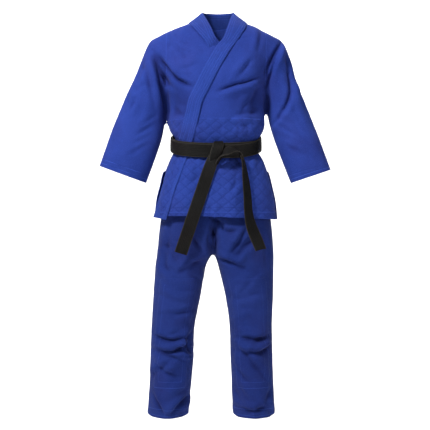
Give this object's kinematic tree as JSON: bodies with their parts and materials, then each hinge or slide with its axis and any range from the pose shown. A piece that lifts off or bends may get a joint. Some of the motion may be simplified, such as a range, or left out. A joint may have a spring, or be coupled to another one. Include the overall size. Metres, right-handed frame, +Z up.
{
  "type": "martial arts uniform",
  "caption": "Blue judo-style uniform: wrap jacket with lapels and quilted skirt, knotted black belt, loose trousers with knee patches; sleeves, legs and belt ends swing",
  "frame": {"origin": "middle of the shoulder line, at the base of the neck, where the garment hangs on its wearer", "axes": "+Z up; the wearer faces -Y; the wearer's left is +X"},
  "size_m": [0.802, 0.274, 1.397],
  "materials": {
    "jacket_weave": "matt rice-grain cotton",
    "diamond_quilt": "matt cotton with diamond stitching",
    "lapel_band": "stiff cotton band with stitch rows",
    "trouser_twill": "plain cotton drill",
    "plain_lining": "plain cotton tape",
    "belt_cotton": "black cotton with stitch rows"
  },
  "bodies": {
    "garment": {"armpit_gusset_left": "plain_lining", "armpit_gusset_right": "plain_lining", "back_seam_tape": "plain_lining", "belt_first_turn": "belt_cotton", "belt_knot_cross": "belt_cotton", "belt_knot_wrap": "belt_cotton", "belt_second_turn": "belt_cotton", "collar_band": "lapel_band", "crotch_gusset": "trouser_twill", "drawstring_loop_left": "trouser_twill", "drawstring_loop_right": "trouser_twill", "jacket_back": "jacket_weave", "jacket_front_left": "jacket_weave", "jacket_front_right": "jacket_weave", "lapel_left_over": "lapel_band", "lapel_right_under": "lapel_band", "shoulder_lining_left": "plain_lining", "shoulder_lining_right": "plain_lining", "skirt_back": "diamond_quilt", "skirt_front_left": "diamond_quilt", "skirt_front_right": "diamond_quilt", "skirt_hem_back": "diamond_quilt", "skirt_hem_front_right": "diamond_quilt", "trouser_seat_left": "trouser_twill", "trouser_seat_right": "trouser_twill", "trouser_waistband": "trouser_twill", "vent_patch_left": "plain_lining", "vent_patch_right": "plain_lining"},
    "tail_left": {"belt_tail_left": "belt_cotton"},
    "tail_right": {"belt_tail_right": "belt_cotton"},
    "shin_left": {"knee_patch_lower_left": "trouser_twill", "trouser_hem_left": "trouser_twill", "trouser_shin_left": "trouser_twill"},
    "shin_right": {"knee_patch_lower_right": "trouser_twill", "trouser_hem_right": "trouser_twill", "trouser_shin_right": "trouser_twill"},
    "thigh_left": {"knee_patch_upper_left": "trouser_twill", "trouser_thigh_left": "trouser_twill"},
    "thigh_right": {"knee_patch_upper_right": "trouser_twill", "trouser_thigh_right": "trouser_twill"},
    "lower_sleeve_left": {"sleeve_left_cuff_hem": "jacket_weave", "sleeve_left_lower": "jacket_weave"},
    "upper_sleeve_left": {"sleeve_left_upper": "jacket_weave"},
    "lower_sleeve_right": {"sleeve_right_cuff_hem": "jacket_weave", "sleeve_right_lower": "jacket_weave"},
    "upper_sleeve_right": {"sleeve_right_upper": "jacket_weave"}
  },
  "joints": [
    {"name": "sleeve_left_raise", "type": "hinge", "parent": "garment", "child": "upper_sleeve_left", "pos_m": [0.2, 0, -0.075], "axis": [0, -1, 0], "range_deg": [0, 70]},
    {"name": "sleeve_left_elbow", "type": "hinge", "parent": "upper_sleeve_left", "child": "lower_sleeve_left", "pos_m": [0.249, 0.004, -0.305], "axis": [-0.9492, 0, -0.3148], "range_deg": [0, 80]},
    {"name": "leg_left_spread", "type": "hinge", "parent": "garment", "child": "thigh_left", "pos_m": [0.105, 0, -0.7], "axis": [0, -1, 0], "range_deg": [0, 18]},
    {"name": "knee_left_bend", "type": "hinge", "parent": "thigh_left", "child": "shin_left", "pos_m": [0.13, -0.006, -1.075], "axis": [1, 0, 0], "range_deg": [0, 75]},
    {"name": "sleeve_right_raise", "type": "hinge", "parent": "garment", "child": "upper_sleeve_right", "pos_m": [-0.2, 0, -0.075], "axis": [0, 1, 0], "range_deg": [0, 70]},
    {"name": "sleeve_right_elbow", "type": "hinge", "parent": "upper_sleeve_right", "child": "lower_sleeve_right", "pos_m": [-0.249, 0.004, -0.305], "axis": [-0.953, 0, 0.303], "range_deg": [0, 80]},
    {"name": "leg_right_spread", "type": "hinge", "parent": "garment", "child": "thigh_right", "pos_m": [-0.105, 0, -0.7], "axis": [0, 1, 0], "range_deg": [0, 18]},
    {"name": "knee_right_bend", "type": "hinge", "parent": "thigh_right", "child": "shin_right", "pos_m": [-0.13, -0.006, -1.075], "axis": [1, 0, 0], "range_deg": [0, 75]},
    {"name": "tail_right_lift", "type": "hinge", "parent": "garment", "child": "tail_right", "pos_m": [-0.012, -0.127, -0.468], "axis": [-1, 0, 0], "range_deg": [0, 80]},
    {"name": "tail_left_lift", "type": "hinge", "parent": "garment", "child": "tail_left", "pos_m": [0.097, -0.129, -0.452], "axis": [-1, 0, 0], "range_deg": [0, 80]}
  ]
}
